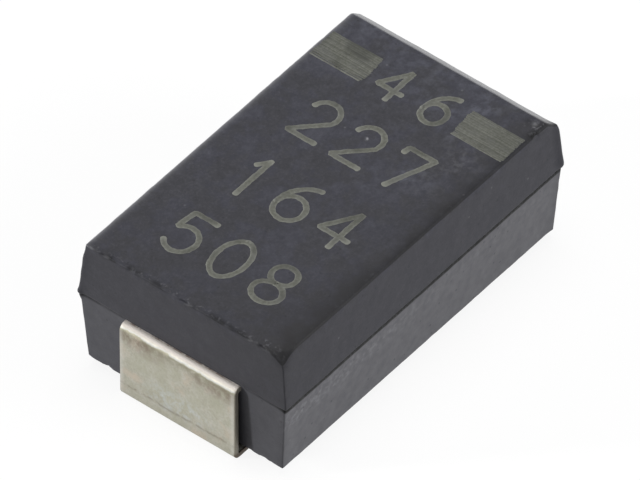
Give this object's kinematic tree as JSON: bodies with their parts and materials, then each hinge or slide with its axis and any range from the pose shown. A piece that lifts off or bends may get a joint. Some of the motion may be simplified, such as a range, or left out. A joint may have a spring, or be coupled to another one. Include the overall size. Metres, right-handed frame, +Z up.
{
  "type": "tantalum capacitor",
  "caption": "Moulded tantalum chip capacitor for surface mounting, with folded tinned solder feet, a bevelled anode end and burnt-in polarity bars.",
  "frame": {"origin": "on the seating plane, under the middle of the part", "axes": "+X along the length towards the anode (+) end with the bevel and the polarity bars, +Z up from the seating plane to the marked top face, Y across the width"},
  "size_m": [0.0074, 0.0042, 0.0027],
  "materials": {
    "moulded_epoxy": "matte, fine moulded grain, slate black",
    "tinned_strip": "matte tin plating over nickel-iron strip",
    "tantalum_wire": "drawn tantalum, grey",
    "ptfe": "white PTFE",
    "sintered_tantalum": "porous sintered tantalum, dark grey",
    "conductive_polymer": "blue-black dried polymer",
    "carbon_paint": "dull black carbon paint",
    "silver_paint": "matte silver paint",
    "silver_adhesive": "cured silver-filled epoxy",
    "laser_mark": "laser-burnt epoxy, olive grey"
  },
  "bodies": {
    "root": {"moulded_case": "moulded_epoxy", "cathode_lead_frame": "tinned_strip", "anode_lead_frame": "tinned_strip", "anode_wire": "tantalum_wire", "wire_washer": "ptfe", "anode_pellet": "sintered_tantalum", "polymer_coat": "conductive_polymer", "carbon_coat": "carbon_paint", "silver_coat": "silver_paint", "silver_adhesive": "silver_adhesive", "polarity_bars": "laser_mark"}
  },
  "joints": []
}
